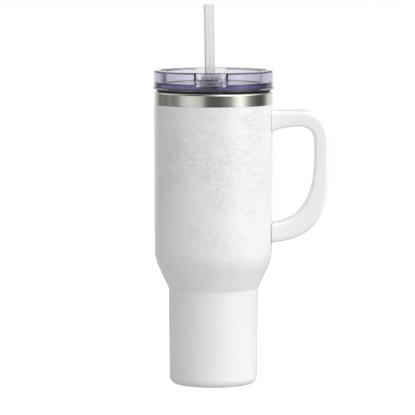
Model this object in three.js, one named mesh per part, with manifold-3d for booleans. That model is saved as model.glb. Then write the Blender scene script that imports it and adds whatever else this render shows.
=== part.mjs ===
// Insulated 40 oz tumbler: double-walled steel cup with a fixed side handle, a push-in clear lid with a
// sliding sip closure, and a reusable straw. Millimetres, +Z up, origin on the cup's axis at the base,
// +X towards the handle, -Y towards the side that the user drinks from.
import * as THREE from "three";
import { mergeVertices } from "three/addons/utils/BufferGeometryUtils.js";
import Module from "manifold-3d";

const wasm = await Module();
wasm.setup();

// ---- driving dimensions -------------------------------------------------------------------------------
const gap = 0.3; // clearance kept between separate pieces
const turns = 36; // facets round the large turned pieces
const smallTurns = 20; // facets round screws, plugs and the straw

const steel = 0.5; // sheet thickness of the shell and the liner
const vacuumGap = 3.2; // space between the shell and the liner
const bandBottom = 237; // height of the paint line under the bare mouth ring
const mouthTop = 248.2; // top of the rolled steel lip

const body = {
  topRadius: 50, // at the mouth
  waistRadius: 49.7, // where the shoulder starts to curve in
  shoulderTop: 113.9,
  shoulderArc: 35, // radius of the convex shoulder curve
  coneAngle: THREE.MathUtils.degToRad(25),
  creaseArc: 3, // concave radius where the cone meets the lower cylinder
  creaseHeight: 80.9,
  lowerTopRadius: 37.95,
  lowerBottomRadius: 37.15,
  baseArc: 6.4, // rounded bottom edge
};

const lid = {
  top: 265.5,
  radius: 50,
  rimInner: 45, // inner edge of the flat rim
  rimStep: 0.6, // from the rim down to the ledge round the wells
  flangeRadius: 50.7,
  flangeBottom: 249.9,
  flangeTop: 251.8,
  wellRadius: 40.4,
  wellFloor: 254.7,
  deckUnder: 251.6,
  plugInner: 40.7,
  gasketSeat: 43.4,
  plugBottom: 238.6,
};

const channel = {
  x: -1.9, // the slide channel sits a little left of the lid's centre
  halfWidth: 11.9,
  wall: 1.5,
  floor: 253.6,
  floorUnder: 250.9,
  endRadius: 44,
};

// the straw leans a little, so it is stated where its axis crosses the lid's rim
const strawLean = THREE.MathUtils.degToRad(0.95);
const straw = { x: -3, radius: 4.3, bore: 3.6, bottom: 9.5, top: 320.8 };
const strawHole = { x: -2.85, radius: 5, collarRadius: 7, collarTop: 258.6 };
const sipHole = { y: -36.3, halfWidth: 8, halfLength: 4.2 };

const slider = { front: -43.2, back: -22.8, halfWidth: 11.55, under: 257.6, top: 259.7, knobTop: 264.2 };
// ledges that carry the slider, and lips that hold it down, along both walls of the channel
const rails = {
  front: -41.6,
  lipFront: -36,
  back: -8.6,
  ledge: 1.4, // how far the ledges and lips reach in from the walls
  ledgeHeight: 1.8,
  lip: 0.9,
  lipHeight: 0.9,
};
const vent = { y: 24, radius: 1.6 }; // lets air in behind the straw

const handleWidth = 22;
const handleEdge = 4; // rounding of the handle's long edges

// Each end of the handle slides over a steel tab, and a screw from inside the grip clamps it there. Distances
// are measured from the middle of the tab towards the inside of the grip.
const arms = {
  upper: { tab: 226.5, side: -1, plug: 7.3 },
  lower: { tab: 128, side: 1, plug: 8.4 },
};
const screw = { x: 60, ledge: 4.1, headHeight: 2, headRadius: 3.2, shankRadius: 1.7, driveDepth: 1.2 };
const tabSize = {
  halfThickness: 2,
  halfWidth: 6,
  end: 65.8,
  foot: 0.9, // thickness of the curved foot
  footHalfHeight: 4.2,
  footHalfWidth: 8.5,
};

// ---- helpers ------------------------------------------------------------------------------------------
const materials = {
  coat: ["#eeeeec", 0.35, 0],
  steel: ["#b9b9b5", 0.25, 1],
  copper: ["#b87346", 0.35, 1],
  clear: ["#c9cadf", 0.08, 0],
  black: ["#121213", 0.6, 0],
  handle: ["#f2f2f1", 0.4, 0],
  silicone: ["#d8d9dc", 0.6, 0],
  glass: ["#5b5f66", 0.3, 0],
};

const group = new THREE.Group();
group.name = "tumbler";

function place(name, geometry, material, parent = group) {
  const [color, roughness, metalness] = materials[material];
  const mesh = new THREE.Mesh(geometry, new THREE.MeshStandardMaterial({ color, roughness, metalness }));
  mesh.name = name;
  parent.add(mesh);
  return mesh;
}

// Points on an arc in the (radius, height) plane, from one angle to another in degrees.
function arc(cx, cz, radius, from, to, steps) {
  return Array.from({ length: steps + 1 }, (_, i) => {
    const a = THREE.MathUtils.degToRad(from + ((to - from) * i) / steps);
    return [cx + radius * Math.cos(a), cz + radius * Math.sin(a)];
  });
}

// Turns a closed (radius, height) outline about Z. The outline may touch the axis.
function turned(outline, segments = turns) {
  const area = outline.reduce((sum, [r, z], i) => {
    const [r2, z2] = outline[(i + 1) % outline.length];
    return sum + r * z2 - r2 * z;
  }, 0);
  const points = (area > 0 ? outline : [...outline].reverse()).map(([r, z]) => new THREE.Vector2(r, z));
  const onAxis = points.findIndex((p, i) => p.x === 0 && points[(i + 1) % points.length].x === 0);
  // an outline on the axis is opened there, and any other closes on its first point
  const ordered = onAxis < 0
    ? [...points, points[0].clone()]
    : [...points.slice(onAxis + 1), ...points.slice(0, onAxis + 1)];
  return new THREE.LatheGeometry(ordered, segments).rotateX(Math.PI / 2);
}

function cylinder(radius, bottom, top, x = 0, y = 0, segments = smallTurns) {
  return new THREE.CylinderGeometry(radius, radius, top - bottom, segments)
    .rotateX(Math.PI / 2)
    .translate(x, y, (top + bottom) / 2);
}

function box(x0, x1, y0, y1, z0, z1) {
  return new THREE.BoxGeometry(x1 - x0, y1 - y0, z1 - z0)
    .translate((x0 + x1) / 2, (y0 + y1) / 2, (z0 + z1) / 2);
}

function solid(geometry) {
  const bare = geometry.index ? geometry.toNonIndexed() : geometry.clone();
  bare.deleteAttribute("normal");
  bare.deleteAttribute("uv");
  const merged = mergeVertices(bare, 1e-3);
  return new wasm.Manifold(new wasm.Mesh({
    numProp: 3,
    vertProperties: merged.attributes.position.array,
    triVerts: new Uint32Array(merged.index.array),
  }));
}

function geometryOf(manifold) {
  const mesh = manifold.getMesh();
  const geometry = new THREE.BufferGeometry();
  geometry.setAttribute("position", new THREE.BufferAttribute(mesh.vertProperties, 3));
  geometry.setIndex(new THREE.BufferAttribute(mesh.triVerts, 1));
  return geometry;
}

// ---- cup ----------------------------------------------------------------------------------------------
// The cup wall's outer surface moved inwards by inset, from the height `top` down to its flat bottom.
function wallLine(inset, top) {
  const b = body;
  const coneDeg = THREE.MathUtils.radToDeg(b.coneAngle);
  const shoulderX = b.waistRadius - b.shoulderArc;
  const shoulder = arc(shoulderX, b.shoulderTop, b.shoulderArc - inset, 0, -coneDeg, 4);
  // the crease's arc is tangent to the lower wall and to the cone, and its centre is outside the cup
  const creaseX = b.lowerTopRadius + b.creaseArc;
  const creaseZ = b.creaseHeight - b.creaseArc * Math.tan(b.coneAngle / 2);
  const crease = arc(creaseX, creaseZ, b.creaseArc + inset, 180 - coneDeg, 180, 2);
  const baseX = b.lowerBottomRadius - b.baseArc;
  const base = arc(baseX, b.baseArc, b.baseArc - inset, 0, -90, 5);
  return [[b.topRadius - inset, top], ...shoulder, ...crease, ...base];
}

// Cuts a wall line off at a height, where its wall is nearly upright.
function endAt(line, height) {
  const above = line.filter(([, z]) => z > height);
  const next = line[above.length];
  const last = above[above.length - 1];
  const t = (last[1] - height) / (last[1] - next[1]);
  return [...above, [last[0] + (next[0] - last[0]) * t, height]];
}

const baseLip = { radius: 28, height: 2.4 }; // the shell's turned-up bottom edge, which holds the base cover

function outerShell() {
  const { radius, height } = baseLip;
  const outside = wallLine(0, bandBottom);
  const inside = wallLine(steel, bandBottom).reverse();
  return turned([...outside, [radius + steel, 0], [radius, steel], [radius, height], [radius + steel, height],
    [radius + steel, 1.5 * steel], ...inside]);
}

function mouthRing() {
  const rollRadius = (body.topRadius - (body.topRadius - 2 * steel - vacuumGap)) / 2;
  const cx = body.topRadius - rollRadius;
  const cz = mouthTop - rollRadius;
  const wall = 0.6;
  const legBottom = bandBottom + gap;
  const innerLegBottom = 244.2;
  return turned([
    [body.topRadius, legBottom],
    ...arc(cx, cz, rollRadius, 0, 180, 6),
    [cx - rollRadius, innerLegBottom],
    [cx - rollRadius + wall, innerLegBottom],
    ...arc(cx, cz, rollRadius - wall, 180, 0, 4),
    [body.topRadius - wall, legBottom],
  ]);
}

const linerInset = steel + vacuumGap;
const linerTop = 243.9;
const linerSeam = 20.3; // where the liner's tube meets its bottom pressing

function innerLiner() {
  const outside = endAt(wallLine(linerInset, linerTop), linerSeam);
  const inside = endAt(wallLine(linerInset + steel, linerTop), linerSeam).reverse();
  return turned([...outside, ...inside]);
}

const linerFloor = 9;

function linerBottom() {
  const corner = 6;
  const outer = body.lowerBottomRadius - linerInset;
  const inner = outer - steel;
  const seam = linerSeam - gap;
  const under = linerFloor - steel;
  return turned([
    [0, under],
    ...arc(outer - corner, under + corner, corner, -90, 0, 4),
    [outer + 0.1, seam],
    [inner + 0.1, seam],
    ...arc(outer - corner, under + corner, corner - steel, 0, -90, 4),
    [0, linerFloor],
  ]);
}

function copperFoil() {
  const thickness = 0.2;
  const inset = linerInset - gap - 0.05 - thickness;
  const outside = endAt(wallLine(inset, 232), 24);
  const inside = endAt(wallLine(inset + thickness, 232), 24).reverse();
  return turned([...outside, ...inside]);
}

// Pressed bottom that closes the vacuum space. Its raised centre holds the evacuation hole.
const vacuumBottomHeight = 3.2;

function vacuumBottom() {
  const z = vacuumBottomHeight;
  const rim = body.lowerBottomRadius - steel - gap - 0.05;
  return turned([
    [2, z + 1], [7, z + 1], [8, z], [32, z], [rim, z + 4.3], [rim, z + 6],
    [rim - steel, z + 6], [rim - steel, z + 4.6], [31.7, z + steel], [8.2, z + steel],
    [7.2, z + 1 + steel], [2, z + 1 + steel],
  ]);
}

function sealBead() {
  const z = vacuumBottomHeight;
  const outline = [[0, z - 0.4], [5.4, z - 0.4], [5.6, z + 0.6], [1.6, z + 0.7], [1.5, z + 1.9], [0, z + 2]];
  return turned(outline, smallTurns);
}

function getter() {
  const z = vacuumBottomHeight + steel + gap;
  return turned([[0, z], [4.6, z], [5, z + 0.4], [5, z + 1.8], [4, z + 2.2], [0, z + 2.2]], smallTurns)
    .translate(17, 0, 0);
}

function baseCover() {
  const rim = baseLip.radius - gap;
  const top = baseLip.height - gap;
  return turned([[0, 0], [rim - steel, 0], [rim, steel], [rim, top], [rim - steel, top],
    [rim - steel, 1.5 * steel], [rim - 1.5 * steel, steel], [0, steel]]);
}

// ---- handle -------------------------------------------------------------------------------------------
// Side outline of the handle in the X-Z plane. Both ends run into the cup and are cut off by it.
function handleOutline() {
  const inside = 38; // inside the cup's wall
  const s = new THREE.Shape();
  s.moveTo(inside, 232);
  s.lineTo(74, 232);
  s.bezierCurveTo(89, 232, 97.2, 222, 97.2, 204);
  s.lineTo(97.2, 182);
  s.bezierCurveTo(97.2, 148, 88, 125, 56, 120.7);
  s.lineTo(inside, 118.3);
  s.lineTo(inside, 135);
  s.lineTo(54, 137.4);
  s.bezierCurveTo(73, 140.4, 85.2, 158, 85.2, 192);
  s.lineTo(85.2, 205);
  s.bezierCurveTo(85.2, 213.5, 80.5, 218.3, 72, 218.3);
  s.bezierCurveTo(64, 218.3, 59, 217.2, 54, 215.6);
  s.lineTo(inside, 210.4);
  s.closePath();
  return s;
}

function tabSocket(z) {
  const t = tabSize;
  const half = t.footHalfHeight + gap;
  const width = t.footHalfWidth + gap;
  const saddle = solid(cylinder(body.topRadius + 2 * gap + t.foot, z - half, z + half, 0, 0, turns))
    .intersect(solid(box(40, 60, -width, width, z - half, z + half)));
  const slotHalf = t.halfThickness + gap;
  const slotWidth = t.halfWidth + gap;
  return saddle.add(solid(box(45, t.end + gap, -slotWidth, slotWidth, z - slotHalf, z + slotHalf)));
}

// A cylinder on a screw's axis, between two distances from the middle of the tab.
function onScrew(arm, radius, from, to, segments = smallTurns) {
  const [low, high] = [arm.tab + arm.side * from, arm.tab + arm.side * to].sort((a, b) => a - b);
  return cylinder(radius, low, high, screw.x, 0, segments);
}

function handle() {
  const flat = new THREE.ExtrudeGeometry(handleOutline(), {
    depth: handleWidth - 2 * handleEdge,
    curveSegments: 8,
    bevelEnabled: true,
    bevelThickness: handleEdge,
    bevelSize: handleEdge,
    bevelOffset: -handleEdge,
    bevelSegments: 2,
  }).rotateX(Math.PI / 2).translate(0, handleWidth / 2 - handleEdge, 0);
  const pastFace = 16;
  let made = solid(flat).subtract(solid(cylinder(body.topRadius + gap, 100, 240, 0, 0, turns)));
  for (const arm of Object.values(arms)) {
    made = made.subtract(tabSocket(arm.tab))
      .subtract(solid(onScrew(arm, screw.shankRadius + gap, 0, screw.ledge + 1)))
      .subtract(solid(onScrew(arm, screw.headRadius + gap, screw.ledge, arm.plug)))
      .subtract(solid(onScrew(arm, screw.headRadius + 1 + gap, arm.plug - gap, pastFace)));
  }
  return geometryOf(made);
}

// Steel tab welded to the shell: a curved foot and a tapped block that the handle slides over.
function bracket({ tab }) {
  const t = tabSize;
  const half = t.footHalfHeight;
  const shellSide = body.topRadius + gap;
  const foot = solid(cylinder(shellSide + t.foot, tab - half, tab + half, 0, 0, turns))
    .subtract(solid(cylinder(shellSide, tab - half - 1, tab + half + 1, 0, 0, turns)))
    .intersect(solid(box(40, 60, -t.footHalfWidth, t.footHalfWidth, tab - half, tab + half)));
  const block = solid(box(shellSide + gap, t.end, -t.halfWidth, t.halfWidth, tab - t.halfThickness,
    tab + t.halfThickness));
  const hole = solid(cylinder(screw.shankRadius + gap, tab - half, tab + half, screw.x));
  return geometryOf(foot.add(block).subtract(hole));
}

function handleScrew(arm) {
  const headStart = screw.ledge + gap;
  const headEnd = headStart + screw.headHeight;
  const tip = gap / 2 - tabSize.halfThickness;
  const shank = solid(onScrew(arm, screw.shankRadius, tip, headStart + 0.1));
  const head = solid(onScrew(arm, screw.headRadius, headStart, headEnd));
  const drive = solid(onScrew(arm, screw.headRadius / 2, headEnd - screw.driveDepth, headEnd + 1, 6));
  return geometryOf(shank.add(head).subtract(drive));
}

function screwPlug(arm) {
  return onScrew(arm, screw.headRadius + 1, arm.plug, arm.plug + 1.2);
}

// ---- lid ----------------------------------------------------------------------------------------------
function lidTurnedShape() {
  const l = lid;
  return turned([
    [0, l.deckUnder], [l.plugInner, l.deckUnder], [l.plugInner + 0.4, l.plugBottom], [43.4, l.plugBottom],
    [44.3, l.plugBottom + 0.9], [44.3, l.plugBottom + 1.6], [l.gasketSeat, l.plugBottom + 1.8],
    [l.gasketSeat, l.flangeBottom], [l.flangeRadius - 0.5, l.flangeBottom],
    [l.flangeRadius, l.flangeBottom + 0.5],
    [l.flangeRadius, l.flangeTop - 0.6], [l.radius, l.flangeTop], [l.radius, l.top - 0.8],
    [l.radius - 0.25, l.top - 0.25], [l.radius - 0.8, l.top], [l.rimInner, l.top],
    [l.rimInner - 0.4, l.top - l.rimStep], [l.wellRadius, l.top - l.rimStep], [l.wellRadius, l.wellFloor],
    [0, l.wellFloor],
  ]);
}

function lidBody() {
  const c = channel;
  const outerHalf = c.halfWidth + c.wall;
  const disc = (radius, bottom, top) => solid(cylinder(radius, bottom, top, 0, 0, turns));
  const strip = (half, bottom, top) => solid(box(c.x - half, c.x + half, -60, 60, bottom, top));
  let made = solid(lidTurnedShape());
  // side walls and floor of the channel, then the channel itself
  const wallTop = lid.top - lid.rimStep;
  const walls = strip(outerHalf, lid.deckUnder + 0.5, wallTop).intersect(disc(lid.wellRadius + 1, 250, 266));
  const floor = strip(outerHalf, c.floorUnder, lid.wellFloor).intersect(disc(lid.plugInner + 0.2, 250, 266));
  const hollow = strip(c.halfWidth, c.floor, lid.top + 1).intersect(disc(c.endRadius, 250, 270));
  made = made.add(walls).add(floor).subtract(hollow);
  // collar round the straw hole, ledges under the slider and lips over it
  made = made.add(solid(cylinder(strawHole.collarRadius, c.floor - 1, strawHole.collarTop, strawHole.x)));
  for (const side of [-1, 1]) {
    const rail = (reach, y0, y1, z0, z1) => {
      const wallFace = c.x + side * (c.halfWidth + 0.3);
      const edge = c.x + side * (c.halfWidth - reach);
      return solid(box(Math.min(wallFace, edge), Math.max(wallFace, edge), y0, y1, z0, z1));
    };
    const r = rails;
    const ledgeTop = slider.under - gap;
    const lipUnder = slider.top + gap;
    made = made.add(rail(r.ledge, r.front, r.back, ledgeTop - r.ledgeHeight, ledgeTop));
    made = made.add(rail(r.lip, r.lipFront, r.back, lipUnder, lipUnder + r.lipHeight));
  }
  made = made.subtract(solid(cylinder(strawHole.radius, 250, 260, strawHole.x)));
  made = made.subtract(solid(cylinder(vent.radius, 250, 256, c.x, vent.y, 12)));
  made = made.subtract(solid(box(c.x - sipHole.halfWidth, c.x + sipHole.halfWidth,
    sipHole.y - sipHole.halfLength, sipHole.y + sipHole.halfLength, 250, 256)));
  return geometryOf(made);
}

function gasket() {
  const seat = lid.gasketSeat + gap;
  const fin = body.topRadius - linerInset - steel - gap - 0.1;
  const top = lid.flangeBottom - gap;
  return turned([
    [seat, 240.9], [44.5, 240.9], [fin, 242.2], [fin, 242.7], [44.7, 243.1], [44.7, 244.3], [fin, 245],
    [fin, 245.5], [44.8, 245.9], [44.8, 247.2], [45.3, mouthTop + gap], [47.8, mouthTop + gap], [47.8, top],
    [seat, top],
  ]);
}

function sliderPiece() {
  const s = slider;
  const plate = solid(box(channel.x - s.halfWidth, channel.x + s.halfWidth, s.front, s.back, s.under, s.top))
    .intersect(solid(cylinder(channel.endRadius - gap, 250, 270, 0, 0, turns)));
  const side = new THREE.Shape();
  side.moveTo(-33.5, s.top - 0.5);
  side.lineTo(-32.6, s.knobTop - 1);
  side.quadraticCurveTo(-32.4, s.knobTop, -31.4, s.knobTop);
  side.lineTo(-28.6, s.knobTop);
  side.quadraticCurveTo(-27.6, s.knobTop, -27.4, s.knobTop - 1);
  side.lineTo(-26.5, s.top - 0.5);
  side.closePath();
  const knob = new THREE.ExtrudeGeometry(side, { depth: 17, bevelEnabled: false, curveSegments: 4 });
  // the shape's x is the row's Y and its y is the row's Z, extruded along X
  knob.applyMatrix4(new THREE.Matrix4().makeBasis(
    new THREE.Vector3(0, 1, 0), new THREE.Vector3(0, 0, 1), new THREE.Vector3(1, 0, 0)));
  knob.translate(channel.x - 8.5, 0, 0);
  return geometryOf(plate.add(solid(knob)));
}

function sliderSeal() {
  const s = new THREE.Shape();
  const [w, y0, y1, r] = [9.5, -42, -30.6, 2];
  s.moveTo(-w + r, y0);
  s.lineTo(w - r, y0);
  s.quadraticCurveTo(w, y0, w, y0 + r);
  s.lineTo(w, y1 - r);
  s.quadraticCurveTo(w, y1, w - r, y1);
  s.lineTo(-w + r, y1);
  s.quadraticCurveTo(-w, y1, -w, y1 - r);
  s.lineTo(-w, y0 + r);
  s.quadraticCurveTo(-w, y0, -w + r, y0);
  const bottom = channel.floor + gap;
  const depth = slider.under - gap - bottom;
  return new THREE.ExtrudeGeometry(s, { depth, bevelEnabled: false, curveSegments: 3 })
    .translate(channel.x, 0, bottom);
}

function strawTube() {
  const t = straw;
  return turned([[t.bore, t.bottom], [t.radius, t.bottom], [t.radius, t.top], [t.bore, t.top]], smallTurns)
    .translate(0, 0, -lid.top)
    .rotateY(-strawLean)
    .translate(t.x, 0, lid.top);
}

// ---- assembly -----------------------------------------------------------------------------------------
place("outer_shell", outerShell(), "coat");
place("mouth_ring", mouthRing(), "steel");
place("inner_liner", innerLiner(), "steel");
place("liner_bottom", linerBottom(), "steel");
place("copper_foil", copperFoil(), "copper");
place("vacuum_bottom", vacuumBottom(), "steel");
place("seal_bead", sealBead(), "glass");
place("getter", getter(), "steel");
place("base_cover", baseCover(), "steel");

place("handle", handle(), "handle");
for (const [name, arm] of Object.entries(arms)) {
  place(`${name}_bracket`, bracket(arm), "steel");
  place(`${name}_screw`, handleScrew(arm), "steel");
  place(`${name}_screw_plug`, screwPlug(arm), "handle");
}

place("lid_gasket", gasket(), "black");
place("lid_body", lidBody(), "clear");
place("lid_slider", sliderPiece(), "clear");
place("slider_seal", sliderSeal(), "silicone");
place("straw", strawTube(), "clear");

export default group;
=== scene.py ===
import math

import bmesh
import bpy
from mathutils import Matrix, Vector


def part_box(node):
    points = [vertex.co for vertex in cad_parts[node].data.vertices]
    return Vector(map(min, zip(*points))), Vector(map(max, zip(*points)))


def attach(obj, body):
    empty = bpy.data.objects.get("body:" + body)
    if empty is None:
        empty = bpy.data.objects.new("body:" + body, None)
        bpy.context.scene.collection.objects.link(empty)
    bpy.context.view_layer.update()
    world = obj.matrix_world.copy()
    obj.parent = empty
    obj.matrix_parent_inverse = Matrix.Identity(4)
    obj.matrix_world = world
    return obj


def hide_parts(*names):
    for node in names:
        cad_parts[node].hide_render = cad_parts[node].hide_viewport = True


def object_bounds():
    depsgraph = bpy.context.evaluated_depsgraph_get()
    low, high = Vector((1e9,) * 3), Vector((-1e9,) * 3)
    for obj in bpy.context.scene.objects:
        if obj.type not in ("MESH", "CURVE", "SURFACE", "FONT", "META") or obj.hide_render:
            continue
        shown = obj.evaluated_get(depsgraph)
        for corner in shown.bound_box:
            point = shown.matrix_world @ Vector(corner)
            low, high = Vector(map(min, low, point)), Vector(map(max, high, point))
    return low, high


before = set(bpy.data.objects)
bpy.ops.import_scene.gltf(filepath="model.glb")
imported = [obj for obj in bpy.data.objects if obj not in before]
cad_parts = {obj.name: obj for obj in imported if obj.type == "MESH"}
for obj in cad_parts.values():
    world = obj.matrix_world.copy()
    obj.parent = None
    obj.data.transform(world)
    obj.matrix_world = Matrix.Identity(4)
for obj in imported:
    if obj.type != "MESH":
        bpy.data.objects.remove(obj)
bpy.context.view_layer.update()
mm = 0.001  # the frame is in metres, and the sizes below are in millimetres


def toLinear(hexColour):
    # sRGB hex to the linear colour that the shaders work in
    channels = [int(hexColour[i:i + 2], 16) / 255 for i in (1, 3, 5)]
    linear = [c / 12.92 if c <= 0.04045 else ((c + 0.055) / 1.055) ** 2.4 for c in channels]
    return (*linear, 1)


def filleted(corners, steps=8):
    # corners are (radius, height) or (radius, height, fillet); each one with a fillet becomes an arc
    outline = []
    count = len(corners)
    for i, corner in enumerate(corners):
        here = Vector(corner[:2])
        fillet = corner[2] if len(corner) > 2 else 0
        if not fillet:
            outline.append(tuple(here))
            continue
        back = (Vector(corners[i - 1][:2]) - here).normalized()
        ahead = (Vector(corners[(i + 1) % count][:2]) - here).normalized()
        half = math.acos(max(-1, min(1, back.dot(ahead)))) / 2
        reach = fillet / math.tan(half)
        centre = here + (back + ahead).normalized() * (fillet / math.sin(half))
        start = here + back * reach - centre
        turn = math.pi - 2 * half
        if back.cross(ahead) > 0:
            turn = -turn
        for k in range(steps + 1):
            a = turn * k / steps
            outline.append((
                centre.x + start.x * math.cos(a) - start.y * math.sin(a),
                centre.y + start.x * math.sin(a) + start.y * math.cos(a),
            ))
    return outline


def objectFrom(name, verts, faces, sharpAngle=32):
    mesh = bpy.data.meshes.new(name)
    mesh.from_pydata([Vector(v) * mm for v in verts], [], faces)
    obj = bpy.data.objects.new(name, mesh)
    bpy.context.scene.collection.objects.link(obj)
    tidyMesh(obj, sharpAngle)
    return obj


def tidyMesh(obj, sharpAngle=32):
    # joins points that fall together, and keeps only edges past the angle in degrees sharp
    closeBy = 0.002 * mm
    bm = bmesh.new()
    bm.from_mesh(obj.data)
    bmesh.ops.remove_doubles(bm, verts=bm.verts, dist=closeBy)
    bmesh.ops.dissolve_degenerate(bm, edges=bm.edges, dist=closeBy)
    bmesh.ops.recalc_face_normals(bm, faces=bm.faces)
    bm.to_mesh(obj.data)
    bm.free()
    obj.data.polygons.foreach_set("use_smooth", [True] * len(obj.data.polygons))
    obj.data.set_sharp_from_angle(angle=math.radians(sharpAngle))


def lathe(name, outline, segments=192, sharpAngle=32):
    # turns a closed (radius, height) outline about Z
    verts = []
    for i in range(segments):
        a = 2 * math.pi * i / segments
        verts += [(r * math.cos(a), r * math.sin(a), z) for r, z in outline]
    n = len(outline)
    faces = []
    for i in range(segments):
        j = (i + 1) % segments
        for k in range(n):
            m = (k + 1) % n
            if outline[k][0] < 1e-6 and outline[m][0] < 1e-6:
                continue  # both ends on the axis
            faces.append((i * n + k, j * n + k, j * n + m, i * n + m))
    return objectFrom(name, verts, faces, sharpAngle)


def disc(name, radius, bottom, top, x=0, y=0, segments=192):
    obj = lathe(name, [(0, bottom), (radius, bottom), (radius, top), (0, top)], segments)
    obj.data.transform(Matrix.Translation((x * mm, y * mm, 0)))
    return obj


def slab(name, x0, x1, y0, y1, z0, z1, draft=0):
    # a block, whose sides may draw in by the draft at the top
    verts = []
    for z, inward in ((z0, 0), (z1, draft)):
        verts += [(x, y, z) for y in (y0, y1) for x in (x0 + inward, x1 - inward)]
    faces = [(0, 2, 3, 1), (4, 5, 7, 6), (0, 1, 5, 4), (2, 6, 7, 3), (0, 4, 6, 2), (1, 3, 7, 5)]
    return objectFrom(name, verts, faces)


def applyModifiers(obj):
    graph = bpy.context.evaluated_depsgraph_get()
    mesh = bpy.data.meshes.new_from_object(obj.evaluated_get(graph))
    obj.modifiers.clear()
    obj.data = mesh


def combine(target, other, how):
    # how is UNION, DIFFERENCE or INTERSECT; the other object is used up
    modifier = target.modifiers.new("combine", "BOOLEAN")
    modifier.operation = how
    modifier.solver = "MANIFOLD"
    modifier.object = other
    applyModifiers(target)
    bpy.data.objects.remove(other)
    return target


def softEdges(obj, width, segments=2):
    # rounds off the edges that a moulded piece has, width in mm
    modifier = obj.modifiers.new("soft edges", "BEVEL")
    modifier.width = width * mm
    modifier.segments = segments
    modifier.limit_method = "ANGLE"
    modifier.angle_limit = math.radians(35)
    modifier.use_clamp_overlap = True
    applyModifiers(obj)
    tidyMesh(obj, sharpAngle=40)
    return obj


def finishPiece(obj, body, slot, material, *nodes):
    # large faces keep their true normals beside small fillets, so that they don't look bent
    shading = obj.modifiers.new("true normals", "WEIGHTED_NORMAL")
    shading.keep_sharp = True
    applyModifiers(obj)
    obj.data.materials.clear()
    obj.data.materials.append(material)
    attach(obj, body)
    if nodes:
        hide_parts(*nodes)
    return obj


def newMaterial(name):
    material = bpy.data.materials.new(name)
    material.use_nodes = True
    tree = material.node_tree
    tree.nodes.clear()
    return material, tree


def addNode(tree, kind, settings=None, inputs=None):
    # inputs hold values, or sockets to link from
    node = tree.nodes.new(kind)
    for key, value in (settings or {}).items():
        setattr(node, key, value)
    for key, value in (inputs or {}).items():
        socket = node.inputs[key]
        if isinstance(value, bpy.types.NodeSocket):
            tree.links.new(value, socket)
        else:
            socket.default_value = value
    return node


def setRamp(node, stops):
    # stops are (position, colour) in rising order
    ramp = node.color_ramp
    while len(ramp.elements) > 1:
        ramp.elements.remove(ramp.elements[-1])
    ramp.elements[0].position = stops[0][0]
    ramp.elements[0].color = stops[0][1]
    for position, colour in stops[1:]:
        ramp.elements.new(position).color = colour
    return node


def endWith(tree, shader, volume=None):
    inputs = {"Surface": shader.outputs[0]}
    if volume:
        inputs["Volume"] = volume.outputs[0]
    addNode(tree, "ShaderNodeOutputMaterial", inputs=inputs)


powderCoat = {
    "white": "#f5f5f5",
    "wisp": "#e3e3e3",
    "wispLength": 5.5,  # mm
    "drift": (0.016, 0.016, 0.009),  # metres, how far the wisps are pushed about
    "slant": 0.35,  # radians, of the wisps
    "flattening": (1.0, 1.0, 1.6),  # wisps lie more along the cup's girth than up it
    "patch": 30.0,  # mm, across the areas where the wisps come and go
    "turn": -75,  # degrees, of the clouds round the cup
    "plainBelow": (85, 155),  # mm, the heights between which the wisps fade out downwards
    "grain": 0.9,  # mm between the bumps of the coat
    "roughness": 0.36,
}


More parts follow.
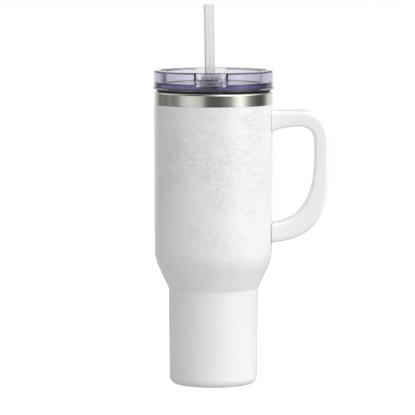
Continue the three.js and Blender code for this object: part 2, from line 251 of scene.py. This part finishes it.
def whitePowderCoat():
    # white powder coat, baked: satin, with faint wispy clouds and a fine orange peel
    c = powderCoat
    material, tree = newMaterial("whitePowderCoat")
    place = addNode(tree, "ShaderNodeMapping", inputs={
        "Vector": addNode(tree, "ShaderNodeTexCoord").outputs["Object"],
        "Rotation": (0, 0, math.radians(c["turn"]))}).outputs[0]
    drift = addNode(tree, "ShaderNodeTexNoise", inputs={
        "Vector": place, "Scale": 1 / (2.4 * c["wispLength"] * mm), "Detail": 2.0})
    pushed = addNode(tree, "ShaderNodeVectorMath", {"operation": "MULTIPLY_ADD"}, {
        0: drift.outputs["Color"], 1: c["drift"], 2: place})
    tilted = addNode(tree, "ShaderNodeMapping", inputs={
        "Vector": pushed.outputs[0], "Rotation": (0, c["slant"], 0), "Scale": c["flattening"]})
    wisps = addNode(tree, "ShaderNodeTexNoise", inputs={
        "Vector": tilted.outputs[0], "Scale": 1 / (c["wispLength"] * mm),
        "Detail": 3.0, "Roughness": 0.55})
    patches = addNode(tree, "ShaderNodeTexNoise", inputs={
        "Vector": place, "Scale": 1 / (c["patch"] * mm), "Detail": 2.0})
    shown = addNode(tree, "ShaderNodeMapRange", inputs={
        "Value": patches.outputs["Fac"], "From Min": 0.38, "From Max": 0.62, "To Min": 0.15, "To Max": 1.0})
    height = addNode(tree, "ShaderNodeSeparateXYZ", inputs={"Vector": place}).outputs["Z"]
    low, high = c["plainBelow"]
    faded = addNode(tree, "ShaderNodeMapRange", inputs={
        "Value": height, "From Min": low * mm, "From Max": high * mm, "To Min": 0.3, "To Max": 1.0})
    strength = addNode(tree, "ShaderNodeMath", {"operation": "MULTIPLY"}, {
        0: shown.outputs[0], 1: faded.outputs[0]})
    # a wisp is drawn where the noise is near its middle level, so it comes out as a thin curl
    ridge = setRamp(addNode(tree, "ShaderNodeValToRGB", inputs={"Fac": wisps.outputs["Fac"]}), [
        (0.36, (0, 0, 0, 1)),
        (0.47, (1, 1, 1, 1)),
        (0.53, (0.35, 0.35, 0.35, 1)),
        (0.66, (0, 0, 0, 1)),
    ])
    amount = addNode(tree, "ShaderNodeMath", {"operation": "MULTIPLY"}, {
        0: ridge.outputs["Color"], 1: strength.outputs[0]})
    colour = addNode(tree, "ShaderNodeMix", {"data_type": "RGBA"}, {
        "Factor": amount.outputs[0], "A": toLinear(c["white"]), "B": toLinear(c["wisp"])})
    peel = addNode(tree, "ShaderNodeTexNoise", inputs={
        "Vector": place, "Scale": 1 / (c["grain"] * mm), "Detail": 1.0})
    bump = addNode(tree, "ShaderNodeBump", inputs={
        "Strength": 0.12, "Distance": 0.05 * mm, "Height": peel.outputs["Fac"]})
    endWith(tree, addNode(tree, "ShaderNodeBsdfPrincipled", inputs={
        "Base Color": colour.outputs["Result"], "Roughness": c["roughness"], "Normal": bump.outputs[0],
        "Coat Weight": 0.35, "Coat Roughness": 0.16}))
    return material


turningLines = 0.35  # mm apart, drawn coarser than the real 0.05 mm so that they show


def turnedMetal(name, colour, roughness):
    # metal that was turned, spun or rolled: reflections drawn out a little along its fine lines
    material, tree = newMaterial(name)
    place = addNode(tree, "ShaderNodeTexCoord").outputs["Object"]
    stretched = addNode(tree, "ShaderNodeMapping", inputs={"Vector": place, "Scale": (0.02, 0.02, 1)})
    lines = addNode(tree, "ShaderNodeTexNoise", inputs={
        "Vector": stretched.outputs[0], "Scale": 1 / (turningLines * mm), "Detail": 3.0})
    rough = addNode(tree, "ShaderNodeMapRange", inputs={
        "Value": lines.outputs["Fac"], "From Min": 0.3, "From Max": 0.7,
        "To Min": roughness - 0.03, "To Max": roughness + 0.05})
    bump = addNode(tree, "ShaderNodeBump", inputs={
        "Strength": 0.08, "Distance": 0.02 * mm, "Height": lines.outputs["Fac"]})
    endWith(tree, addNode(tree, "ShaderNodeBsdfPrincipled", inputs={
        "Base Color": toLinear(colour), "Metallic": 1.0, "Roughness": rough.outputs[0],
        "Normal": bump.outputs[0]}))
    return material


def cloudedPlastic(name, colour, roughness, grain=0.8, cloudWidth=14, shade=0.03):
    # moulded plastic, rubber or glass: even colour, with a faint cloud in it and a fine skin, sizes in mm
    material, tree = newMaterial(name)
    place = addNode(tree, "ShaderNodeTexCoord").outputs["Object"]
    cloud = addNode(tree, "ShaderNodeTexNoise", inputs={
        "Vector": place, "Scale": 1 / (cloudWidth * mm), "Detail": 2.0})
    base = toLinear(colour)
    darker = (*[v * (1 - shade) for v in base[:3]], 1)
    mixed = addNode(tree, "ShaderNodeMix", {"data_type": "RGBA"}, {
        "Factor": cloud.outputs["Fac"], "A": base, "B": darker})
    skin = addNode(tree, "ShaderNodeTexNoise", inputs={
        "Vector": place, "Scale": 1 / (grain * mm), "Detail": 2.0})
    bump = addNode(tree, "ShaderNodeBump", inputs={
        "Strength": 0.1, "Distance": 0.03 * mm, "Height": skin.outputs["Fac"]})
    endWith(tree, addNode(tree, "ShaderNodeBsdfPrincipled", inputs={
        "Base Color": mixed.outputs["Result"], "Roughness": roughness, "Normal": bump.outputs[0]}))
    return material


clearCopolyester = {
    "ior": 1.54,
    "roughness": 0.015,
    "tint": (0.2, 0.19, 0.5, 1),  # what is left of each colour; violet shows where the plastic is deep
    "density": 29.0,  # per metre
    "flow": 9.0,  # mm between the faint waves that moulding leaves
}


def clearMoulding(name, settings):
    # clear copolyester, injection moulded: glassy, with a violet cast through its edges
    material, tree = newMaterial(name)
    place = addNode(tree, "ShaderNodeTexCoord").outputs["Object"]
    flow = addNode(tree, "ShaderNodeTexNoise", inputs={
        "Vector": place, "Scale": 1 / (settings["flow"] * mm), "Detail": 1.0})
    bump = addNode(tree, "ShaderNodeBump", inputs={
        "Strength": 0.12, "Distance": 0.05 * mm, "Height": flow.outputs["Fac"]})
    shader = addNode(tree, "ShaderNodeBsdfPrincipled", inputs={
        "Base Color": (1, 1, 1, 1), "Roughness": settings["roughness"], "IOR": settings["ior"],
        "Transmission Weight": 1.0, "Normal": bump.outputs[0]})
    tint = addNode(tree, "ShaderNodeVolumeAbsorption", inputs={
        "Color": settings["tint"], "Density": settings["density"]})
    endWith(tree, shader, tint)
    return material


def frostedPlastic(name, colour, roughness, through, streak=1.2):
    # translucent polypropylene or silicone: lets light through but blurs it, with streaks of a width in mm
    material, tree = newMaterial(name)
    place = addNode(tree, "ShaderNodeTexCoord").outputs["Object"]
    streaks = addNode(tree, "ShaderNodeMapping", inputs={"Vector": place, "Scale": (1, 1, 0.04)})
    drawn = addNode(tree, "ShaderNodeTexNoise", inputs={
        "Vector": streaks.outputs[0], "Scale": 1 / (streak * mm), "Detail": 2.0})
    bump = addNode(tree, "ShaderNodeBump", inputs={
        "Strength": 0.2, "Distance": 0.05 * mm, "Height": drawn.outputs["Fac"]})
    endWith(tree, addNode(tree, "ShaderNodeBsdfPrincipled", inputs={
        "Base Color": toLinear(colour), "Roughness": roughness, "IOR": 1.49,
        "Transmission Weight": through, "Normal": bump.outputs[0]}))
    return material


print("materials")
coatMaterial = whitePowderCoat()
steelMaterial = turnedMetal("turnedStainlessSteel", "#cfccc6", 0.16)  # bright, polished after turning
innerSteelMaterial = turnedMetal("spunStainlessSteel", "#bdbbb7", 0.3)  # duller, left as it was spun
copperMaterial = turnedMetal("rolledCopperFoil", "#c98a63", 0.35)  # warm, with soft reflections
handleMaterial = cloudedPlastic("mouldedWhitePolypropylene", "#fcfcfc", 0.33)  # clean satin white
gasketMaterial = cloudedPlastic("mouldedBlackSilicone", "#0c0c0e", 0.5)  # dull and nearly black
glassMaterial = cloudedPlastic("fusedSolderGlass", "#5b6068", 0.2)  # grey and glossy
lidMaterial = clearMoulding("clearCopolyester", clearCopolyester)
strawMaterial = frostedPlastic("extrudedPolypropylene", "#ffffff", 0.16, 0.88)  # milky, streaked lengthways
sealMaterial = frostedPlastic("clearSilicone", "#e9eaee", 0.3, 0.85)  # hazy


cup = {
    "mouthRadius": 50,
    "waistRadius": 49.7,
    "shoulder": (106.14, 35),  # the corner's height and its fillet
    "creaseRadius": 37.95,
    "crease": (80.94, 3),
    "baseRadius": 37.1,
    "baseEdge": 6.4,  # fillet round the base
    "slope": math.tan(math.radians(12.5)),  # half of the cone's angle
    "sheet": 0.5,
    "liner": 3.7,  # from the outside of the cup to the outside of the liner
    "coatEdge": 0.2,  # fillet at the top of the coat
    "paintGap": 0.05,  # between the edge of the coat and the bare band
    "weldGap": 0.3,  # between the liner and its bottom
    "dishCorner": 6,  # fillet round the liner's bottom
    "dishFlare": 0.1,
}
bottomLip = {"foot": 28.5, "top": 28.1, "inside": 28.6, "height": 2.4}  # where the shell turns up below
rolledMouth = {"roll": 2.1, "wall": 0.6, "depth": 3.4}  # its depth is down the inside
arcGap = 0.01  # kept between two arcs, so that they don't end in the same point


def wallCorners(inset, top):
    # the cup's wall, moved in by inset, from the top down to the crease
    shoulderHeight, shoulderArc = cup["shoulder"]
    creaseHeight, creaseArc = cup["crease"]
    lift = inset * cup["slope"]
    return [
        (cup["mouthRadius"] - inset, top),
        (cup["waistRadius"] - inset, shoulderHeight + lift, shoulderArc - inset),
        (cup["creaseRadius"] - inset, creaseHeight + lift, creaseArc + inset),
    ]


def wallPoint(inset, height):
    # where the lower wall is at a height
    share = height / cup["crease"][0]
    return (cup["baseRadius"] + (cup["creaseRadius"] - cup["baseRadius"]) * share - inset, height)


def makeCup():
    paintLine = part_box("outer_shell")[1].z / mm
    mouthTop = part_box("mouth_ring")[1].z / mm
    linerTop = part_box("inner_liner")[1].z / mm
    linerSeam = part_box("inner_liner")[0].z / mm
    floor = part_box("liner_bottom")[0].z / mm
    sheet = cup["sheet"]
    edge = cup["baseEdge"]
    outside = wallCorners(0, paintLine)
    outside[0] = (*outside[0], cup["coatEdge"])
    inside = wallCorners(sheet, paintLine)
    lip = bottomLip
    shell = lathe("cupShell", filleted([
        *outside,
        (cup["baseRadius"], 0, edge),
        (lip["foot"], 0, 0.4),
        (lip["top"], lip["height"]),
        (lip["foot"], lip["height"]),
        (lip["inside"], sheet),
        (cup["baseRadius"] - sheet, sheet, edge - sheet),
        *reversed(inside),
    ], 12))
    finishPiece(shell, "cup", "coat", coatMaterial, "outer_shell")

    roll = rolledMouth["roll"]
    wall = rolledMouth["wall"]
    outer = cup["mouthRadius"]
    inner = outer - 2 * roll
    rollFoot = mouthTop - rolledMouth["depth"]
    bandFoot = paintLine + cup["paintGap"]
    ring = lathe("mouthRing", filleted([
        (outer, bandFoot),
        (outer, mouthTop, roll - arcGap),
        (inner, mouthTop, roll - arcGap),
        (inner, rollFoot),
        (inner + wall, rollFoot),
        (inner + wall, mouthTop - wall, roll - wall - arcGap),
        (outer - wall, mouthTop - wall, roll - wall - arcGap),
        (outer - wall, bandFoot),
    ], 12))
    finishPiece(ring, "cup", "bare_steel", steelMaterial, "mouth_ring")

    near = cup["liner"]
    far = near + sheet
    liner = lathe("cupLiner", filleted([
        *wallCorners(near, linerTop),
        wallPoint(near, linerSeam),
        wallPoint(far, linerSeam),
        *reversed(wallCorners(far, linerTop)),
    ], 12))
    finishPiece(liner, "cup", "bare_steel", innerSteelMaterial, "inner_liner")

    seam = linerSeam - cup["weldGap"]
    dishRadius = wallPoint(near, 0)[0]
    dishTop = dishRadius + cup["dishFlare"]
    corner = cup["dishCorner"]
    dish = lathe("linerDish", filleted([
        (0, floor),
        (dishRadius, floor, corner),
        (dishTop, seam),
        (dishTop - sheet, seam),
        (dishRadius - sheet, floor + sheet, corner - sheet),
        (0, floor + sheet),
    ], 10))
    finishPiece(dish, "cup", "bare_steel", innerSteelMaterial, "liner_bottom")

    low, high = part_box("base_cover")
    rim = high.x / mm
    top = high.z / mm
    cover = lathe("baseCover", filleted([
        (0, 0),
        (rim, 0, 0.5),
        (rim, top),
        (rim - sheet, top),
        (rim - sheet, sheet),
        (0, sheet),
    ], 6))
    finishPiece(cover, "cup", "bare_steel", innerSteelMaterial, "base_cover")


hiddenFinishes = {
    "copper_foil": copperMaterial,
    "vacuum_bottom": innerSteelMaterial,
    "seal_bead": glassMaterial,
    "getter": innerSteelMaterial,
    "upper_bracket": innerSteelMaterial,
    "lower_bracket": innerSteelMaterial,
    "upper_screw": innerSteelMaterial,
    "lower_screw": innerSteelMaterial,
    "upper_screw_plug": handleMaterial,
    "lower_screw_plug": handleMaterial,
}


def finishHiddenPieces():
    # what is shut in the walls or under the handle keeps its CAD shape and only takes a finish
    for node, material in hiddenFinishes.items():
        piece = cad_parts[node]
        piece.data.materials.clear()
        piece.data.materials.append(material)


# the side view of the handle is drawn with (x, z) points: its outside line, its inside line,
# and the swell where the inside line runs into the cup below the top end
grip = {
    "width": 22,
    "outside": [
        (74, 232), (89, 232), (97.2, 222), (97.2, 204), (97.2, 197),
        (97.2, 189), (97.2, 182), (97.2, 148), (88, 125), (56, 120.7),
    ],
    "inside": [
        (72, 218.3), (80.5, 218.3), (85.2, 213.5), (85.2, 205), (85.2, 201),
        (85.2, 196), (85.2, 192), (85.2, 158), (73, 140.4), (54, 137.4),
    ],
    "topEnd": [(44, 232), (44, 212.4)],
    "topSwell": [(64, 218.3), (59, 217.2), (54, 215.6)],
    "bottomEnd": [(44, 119.1), (44, 135.9)],
    "palmPower": 0.42,  # the lower the power, the squarer that side of the section
    "fingerPower": 0.3,
    "flankPower": 0.36,
    "wallGap": 0.25,  # between the handle's ends and the cup
    "stations": 140,  # sections along the handle
    "around": 48,  # points round each section
}


def bezier(a, b, c, d, steps):
    # one cubic curve, without its last point
    points = []
    for i in range(steps):
        t = i / steps
        u = 1 - t
        point = Vector(a) * u ** 3 + Vector(b) * 3 * u * u * t + Vector(c) * 3 * u * t * t
        points.append(point + Vector(d) * t ** 3)
    return points


def chain(points, steps):
    # cubic curves end to end
    path = []
    for i in range(0, len(points) - 1, 3):
        path += bezier(*points[i:i + 4], steps)
    return path + [Vector(points[-1])]


def evenly(path, count):
    # the same path in equal steps
    lengths = [0]
    for a, b in zip(path, path[1:]):
        lengths.append(lengths[-1] + (b - a).length)
    out = []
    k = 0
    for i in range(count):
        want = lengths[-1] * i / (count - 1)
        while k < len(path) - 2 and lengths[k + 1] < want:
            k += 1
        share = (want - lengths[k]) / max(1e-9, lengths[k + 1] - lengths[k])
        out.append(path[k].lerp(path[k + 1], min(1, share)))
    return out


def makeHandle():
    g = grip
    half = g["width"] / 2
    stations = g["stations"]
    around = g["around"]
    outside = [Vector(g["topEnd"][0])] + chain(g["outside"], 24) + [Vector(g["bottomEnd"][0])]
    topSwell = bezier(g["inside"][0], *g["topSwell"], 16)[::-1]
    inside = [Vector(g["topEnd"][1]), Vector(g["topSwell"][-1])] + topSwell + chain(g["inside"], 24)
    inside += [Vector(g["bottomEnd"][1])]
    outer = evenly(outside, stations)
    inner = evenly(inside, stations)
    wallRadius = cup["mouthRadius"] + g["wallGap"]
    verts = []
    for i in range(stations):
        o, n = outer[i], inner[i]
        across = (o - n) / 2
        centre = (o + n) / 2
        for k in range(around):
            a = 2 * math.pi * k / around
            c, s = math.cos(a), math.sin(a)
            power = g["palmPower"] if c > 0 else g["fingerPower"]
            u = math.copysign(abs(c) ** power, c)
            v = math.copysign(abs(s) ** g["flankPower"], s)
            p = centre + across * u
            y = half * v
            x = max(p.x, math.sqrt(wallRadius ** 2 - y * y))  # stays outside the cup's wall
            verts.append((x, y, p.y))
    faces = []
    for i in range(stations - 1):
        for k in range(around):
            m = (k + 1) % around
            faces.append((i * around + k, i * around + m, (i + 1) * around + m, (i + 1) * around + k))
    faces.append(tuple(range(around)))
    faces.append(tuple((stations - 1) * around + k for k in reversed(range(around))))
    handle = objectFrom("handleGrip", verts, faces, sharpAngle=50)
    finishPiece(handle, "cup", "handle_plastic", handleMaterial, "handle")


lid = {
    "radius": 50,
    "rimInner": 45,
    "ledgeDrop": 0.6,  # from the top down to the ledge round the wells
    "flangeRadius": 50.7,
    "flange": (249.9, 251.8),
    "wellRadius": 40.4,
    "wellFloor": 254.7,
    "deckUnder": 251.6,
    "plugInner": 40.7,
    "plugDraft": 0.4,
    "seat": 43.4,  # what the gasket sits on
    "bead": 44.3,  # the ridge that holds the gasket from below
    "beadHeights": (0.9, 1.6, 1.8),  # above the foot of the plug
    "edge": 0.22,  # the small rounding of every moulded edge
    "cutReach": 60,  # past the lid on both sides
    "cut": (240, 270),  # past the lid below and above
}
channel = {
    "x": -1.9,
    "halfWidth": 11.9,
    "wall": 1.3,
    "draft": 0.2,
    "wallTop": 264.9,
    "floor": 253.6,
    "floorUnder": 250.9,
    "endRadius": 44,
}
strawHole = {"x": -2.85, "radius": 5, "collarRadius": 7, "collarTop": 258.6, "cut": (250, 260)}
sipHole = {"y": -36.3, "halfWidth": 8, "halfLength": 4.2, "cut": (250, 256)}
vent = {"y": 24, "radius": 1.6, "cut": (250, 256)}
slider = {
    "front": -43.2,
    "back": -22.8,
    "halfWidth": 11.55,
    "under": 257.6,
    "top": 259.7,
    "play": 0.3,  # between it and the rails and the channel's end
    "padEdge": 0.9,  # rounding of the silicone pad under it
    "cut": (250, 270),
}
# the slider runs between a lower and an upper pair of rails on the channel's walls
rails = {
    "back": -8.6,
    "rooted": 0.3,  # how far they reach into the wall
    "lower": {"reach": 1.4, "front": -41.6, "far": 2.1},  # far is measured from the slider's own face
    "upper": {"reach": 0.9, "front": -36, "far": 1.2},
}


def makeLid():
    bottom, top = [corner.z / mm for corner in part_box("lid_body")]
    low, high = lid["flange"]
    seat = lid["seat"]
    ledge = top - lid["ledgeDrop"]
    beadFoot, beadTop, beadEnd = [bottom + height for height in lid["beadHeights"]]
    body = lathe("lidBody", filleted([
        (0, lid["deckUnder"]),
        (lid["plugInner"], lid["deckUnder"], 0.8),
        (lid["plugInner"] + lid["plugDraft"], bottom, 0.5),
        (seat, bottom, 0.3),
        (lid["bead"], beadFoot, 0.3),
        (lid["bead"], beadTop, 0.1),
        (seat, beadEnd),
        (seat, low, 0.1),
        (lid["flangeRadius"], low, 0.5),
        (lid["flangeRadius"], high, 0.7),
        (lid["radius"], high + 0.1),
        (lid["radius"], top, 0.8),
        (lid["rimInner"], top, 0.3),
        (lid["rimInner"] - 0.4, ledge, 0.2),
        (lid["wellRadius"], ledge, 1.4),
        (lid["wellRadius"], lid["wellFloor"], 0.9),
        (0, lid["wellFloor"]),
    ], 6))

    c = channel
    x = c["x"]
    half = c["halfWidth"] + c["wall"]

    def strip(reach, z0, z1, radius, draft=0):
        # a bar along the channel, rounded off at both ends by a radius about the cup's axis
        block = slab("strip", x - reach, x + reach, -lid["cutReach"], lid["cutReach"], z0, z1, draft)
        return combine(block, disc("bound", radius, *lid["cut"]), "INTERSECT")

    wallFoot = lid["deckUnder"] + 0.5  # inside the deck
    walls = strip(half + c["draft"], wallFoot, c["wallTop"], lid["rimInner"] + 1, c["draft"])
    combine(body, walls, "UNION")
    trough = strip(half, c["floorUnder"], lid["wellFloor"], lid["plugInner"] + 0.2)
    combine(body, trough, "UNION")
    inside = strip(c["halfWidth"], c["floor"], top + 1, c["endRadius"])
    combine(body, inside, "DIFFERENCE")

    h = strawHole
    collar = disc("collar", h["collarRadius"], c["floor"] - 1, h["collarTop"], h["x"], 0, 64)
    combine(body, collar, "UNION")
    lower, upper = rails["lower"], rails["upper"]
    for side in (-1, 1):
        for rail, z0, z1 in (
            (lower, slider["under"] - lower["far"], slider["under"] - slider["play"]),
            (upper, slider["top"] + slider["play"], slider["top"] + upper["far"]),
        ):
            root = x + side * (c["halfWidth"] + rails["rooted"])
            tip = x + side * (c["halfWidth"] - rail["reach"])
            x0, x1 = sorted((root, tip))
            combine(body, slab("rail", x0, x1, rail["front"], rails["back"], z0, z1), "UNION")
    combine(body, disc("hole", h["radius"], *h["cut"], h["x"], 0, 64), "DIFFERENCE")
    combine(body, disc("vent", vent["radius"], *vent["cut"], x, vent["y"], 32), "DIFFERENCE")
    h = sipHole
    y0 = h["y"] - h["halfLength"]
    y1 = h["y"] + h["halfLength"]
    sip = slab("sip", x - h["halfWidth"], x + h["halfWidth"], y0, y1, *h["cut"])
    combine(body, sip, "DIFFERENCE")
    softEdges(body, lid["edge"])
    finishPiece(body, "lid", "lid_clear", lidMaterial, "lid_body")


gasket = {
    "play": 0.15,  # between it and the lid's seat
    "foot": 240.9,
    "footRadius": 44.5,
    # each fin's edge runs between two heights, and the sleeve above it has a radius and two heights
    "finRadius": 45.55,
    "fins": ((242.2, 242.7), (245.0, 245.5)),
    "sleeves": ((44.7, 243.1, 244.3), (44.8, 245.9, 247.2)),
    "collarRadius": 45.4,  # under the flange that lies over the cup's mouth
    "collarGap": 0.2,  # between that flange and the mouth
}


def makeGasket():
    g = gasket
    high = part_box("lid_gasket")[1]
    seat = lid["seat"] + g["play"]
    rim = high.x / mm
    top = high.z / mm
    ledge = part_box("mouth_ring")[1].z / mm + g["collarGap"]
    outline = [(seat, g["foot"]), (g["footRadius"], g["foot"], 0.2)]
    for finEdge, (radius, start, end) in zip(g["fins"], g["sleeves"]):
        outline += [(g["finRadius"], z, 0.2) for z in finEdge]
        outline += [(radius, z, 0.3) for z in (start, end)]
    outline += [(g["collarRadius"], ledge, 0.3), (rim, ledge, 0.4), (rim, top, 0.4), (seat, top)]
    ring = lathe("lidGasket", filleted(outline, 4))
    finishPiece(ring, "gasket", "gasket_black", gasketMaterial, "lid_gasket")


fingerBar = {
    "front": -33,
    "back": -27,
    "halfWidth": 8.5,
    "top": 264.2,
    "draft": 0.1,
    "sunk": 0.5,  # into the slider's plate
    "edge": 0.4,  # rounding of its edges and of the plate's
    "ribRadius": 1.1,
    "ribStep": 2.8,
    "ribDrop": 0.5,  # from the top of the bar to the top of the ribs
    "ribs": (-2, -1, 0, 1, 2),
}


def makeSlider():
    s = slider
    x = channel["x"]
    sides = (x - s["halfWidth"], x + s["halfWidth"])
    plate = slab("lidSlider", *sides, s["front"], s["back"], s["under"], s["top"])
    combine(plate, disc("bound", channel["endRadius"] - s["play"], *s["cut"]), "INTERSECT")
    b = fingerBar
    foot = s["top"] - b["sunk"]
    outline = [
        (b["front"] - b["draft"], foot),
        (b["front"] + b["draft"], b["top"]),
        (b["back"] - b["draft"], b["top"]),
        (b["back"] + b["draft"], foot),
    ]
    verts = [(x + side * b["halfWidth"], y, z) for side in (-1, 1) for y, z in outline]
    faces = [(0, 1, 2, 3), (7, 6, 5, 4), (0, 4, 5, 1), (1, 5, 6, 2), (2, 6, 7, 3), (3, 7, 4, 0)]
    combine(plate, objectFrom("fingerBar", verts, faces), "UNION")
    for i in b["ribs"]:
        ribX = x + i * b["ribStep"]
        rib = disc("rib", b["ribRadius"], foot, b["top"] - b["ribDrop"], ribX, b["front"], 24)
        combine(plate, rib, "UNION")
    softEdges(plate, b["edge"], 3)
    finishPiece(plate, "slider", "lid_clear", lidMaterial, "lid_slider")
    low, high = [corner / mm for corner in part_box("slider_seal")]
    pad = slab("sliderSeal", low.x, high.x, low.y, high.y, low.z, high.z)
    softEdges(pad, s["padEdge"], 4)
    finishPiece(pad, "slider", "seal_silicone", sealMaterial, "slider_seal")


strawShape = {
    "radius": 4.3,
    "bore": 3.6,  # radius
    "edge": 0.3,
    "length": 311.4,
    "x": -3.0,  # where it passes the lid's top
    "lean": math.radians(0.95),
}


def makeStraw():
    t = strawShape
    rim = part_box("lid_body")[1].z / mm
    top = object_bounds()[1][2] / mm  # the straw is the highest piece
    high = top - t["radius"] * math.sin(t["lean"])
    low = high - t["length"]
    tube = lathe("strawTube", filleted([
        (t["bore"], low, t["edge"]),
        (t["radius"], low, t["edge"]),
        (t["radius"], high, t["edge"]),
        (t["bore"], high, t["edge"]),
    ], 3), 64)
    # it leans about the point where it passes the lid's top
    move = Matrix.Translation((t["x"] * mm, 0, rim * mm)) @ Matrix.Rotation(-t["lean"], 4, "Y")
    tube.data.transform(move @ Matrix.Translation((0, 0, -rim * mm)))
    finishPiece(tube, "straw", "straw_clear", strawMaterial, "straw")


studio = {
    "eye": (-5, -3100, 430),
    "target": (-5, 0, 149.3),
    "focal": 319.4,  # mm, on a 36 mm sensor
    "horizon": (0.12, 0.35),  # sines of the elevations between which the ring gives way to the overhead
    # how bright the studio is at eye level, by compass angle from the camera; the right is positive
    "ring": [
        (-180, 1.0), (-152, 0.9), (-138, 0.5), (-128, 0.2), (-112, 0.3), (-105, 0.2), (-94, 0.4),
        (-88, 0.25), (-79, 0.3), (-72, 0.35), (-67, 0.7), (-57, 0.9), (-46, 1.05), (-36, 0.92),
        (-24, 0.8), (-18, 0.4), (-12, 0.12), (3, 0.1), (14, 0.12), (23, 0.22), (34, 0.42),
        (42, 1.05), (52, 1.65), (60, 1.5), (67, 0.85), (77, 0.32), (90, 0.14), (105, 0.08),
        (116, 0.2), (122, 0.35), (130, 0.9), (150, 1.0),
    ],
    # and above eye level, where a large softbox hangs at the right front
    "overhead": [
        (-180, 0.1), (-150, 0.5), (-120, 1.1), (-90, 0.75), (-60, 0.15), (-30, 0.1), (0, 0.85),
        (30, 2.95), (60, 2.9), (90, 1.6), (120, 0.4), (150, 0.1), (180, 0.1),
    ],
}
paper = {
    "radius": 1300,
    "thickness": 4,
    "drop": 0.2,  # below the cup's base
    "light": "#f8f8f8",
    "dark": "#f4f4f4",
    "cloud": 60.0,  # mottles in a metre
    "glow": 0.6,  # seen by the camera
    "bounce": 0.33,  # what it throws back at the cup, as a share of the light
    "bounceGlow": 0.26,
}


def makeStudio():
    scene = bpy.context.scene
    scene.view_settings.view_transform = "Standard"
    camera = bpy.data.objects.new("camera", bpy.data.cameras.new("camera"))
    scene.collection.objects.link(camera)
    camera.data.sensor_width = 36
    camera.data.lens = studio["focal"]
    camera.data.clip_end = 100
    eye = Vector(studio["eye"]) * mm
    camera.location = eye
    camera.rotation_euler = (Vector(studio["target"]) * mm - eye).to_track_quat("-Z", "Y").to_euler()
    scene.camera = camera

    world = bpy.data.worlds.new("studio")
    scene.world = world
    world.use_nodes = True
    tree = world.node_tree
    tree.nodes.clear()
    way = addNode(tree, "ShaderNodeSeparateXYZ", inputs={
        "Vector": addNode(tree, "ShaderNodeTexCoord").outputs["Generated"]})
    front = addNode(tree, "ShaderNodeMath", {"operation": "MULTIPLY"}, {0: way.outputs["Y"], 1: -1.0})
    angle = addNode(tree, "ShaderNodeMath", {"operation": "ARCTAN2"}, {
        0: way.outputs["X"], 1: front.outputs[0]})
    share = addNode(tree, "ShaderNodeMapRange", inputs={
        "Value": angle.outputs[0], "From Min": -math.pi, "From Max": math.pi})

    def lightRing(stops):
        # a colour ramp holds no more than 1.0, so the levels are divided first and multiplied after
        brightest = max(level for _, level in stops)
        ramp = setRamp(addNode(tree, "ShaderNodeValToRGB", inputs={"Fac": share.outputs[0]}), [
            ((a + 180) / 360, (*[level / brightest] * 3, 1)) for a, level in stops])
        return addNode(tree, "ShaderNodeMath", {"operation": "MULTIPLY"}, {
            0: ramp.outputs["Color"], 1: brightest}).outputs[0]

    low, high = studio["horizon"]
    fade = addNode(tree, "ShaderNodeMapRange", {"interpolation_type": "SMOOTHSTEP"}, {
        "Value": way.outputs["Z"], "From Min": low, "From Max": high})
    mixed = addNode(tree, "ShaderNodeMix", {"data_type": "FLOAT"}, {
        "Factor": fade.outputs[0], "A": lightRing(studio["ring"]), "B": lightRing(studio["overhead"])})
    seen = addNode(tree, "ShaderNodeLightPath").outputs["Is Camera Ray"]
    level = addNode(tree, "ShaderNodeMix", {"data_type": "FLOAT"}, {
        "Factor": seen, "A": mixed.outputs[0], "B": 1.0})
    background = addNode(tree, "ShaderNodeBackground", inputs={
        "Color": (1, 1, 1, 1), "Strength": level.outputs[0]})
    addNode(tree, "ShaderNodeOutputWorld", inputs={"Surface": background.outputs[0]})


def makeFloor():
    p = paper
    floor = lathe("floor", filleted([
        (0, -p["thickness"]),
        (p["radius"], -p["thickness"], 1),
        (p["radius"], 0, 1),
        (0, 0),
    ], 2), 96)
    floor.location.z = -p["drop"] * mm
    material, tree = newMaterial("paperSweep")
    place = addNode(tree, "ShaderNodeTexCoord").outputs["Object"]
    grain = addNode(tree, "ShaderNodeTexNoise", inputs={"Vector": place, "Scale": p["cloud"]})
    tone = addNode(tree, "ShaderNodeMix", {"data_type": "RGBA"}, {
        "Factor": grain.outputs["Fac"], "A": toLinear(p["light"]), "B": toLinear(p["dark"])})
    # the sweep is burnt out to white for the camera, and throws less light back at the cup
    seen = addNode(tree, "ShaderNodeLightPath").outputs["Is Camera Ray"]
    white = addNode(tree, "ShaderNodeBsdfPrincipled", inputs={
        "Base Color": tone.outputs["Result"], "Roughness": 0.9,
        "Emission Color": (1, 1, 1, 1), "Emission Strength": p["glow"]})
    dim = addNode(tree, "ShaderNodeBsdfPrincipled", inputs={
        "Base Color": (p["bounce"], p["bounce"], p["bounce"], 1), "Roughness": 1.0,
        "Specular IOR Level": 0.0, "Emission Color": (1, 1, 1, 1), "Emission Strength": p["bounceGlow"]})
    endWith(tree, addNode(tree, "ShaderNodeMixShader", inputs={
        0: seen, 1: dim.outputs[0], 2: white.outputs[0]}))
    floor.data.materials.append(material)


print("cup")
makeCup()
finishHiddenPieces()
print("handle")
makeHandle()
print("lid")
makeLid()
makeGasket()
makeSlider()
print("straw")
makeStraw()
print("studio")
makeStudio()
makeFloor()
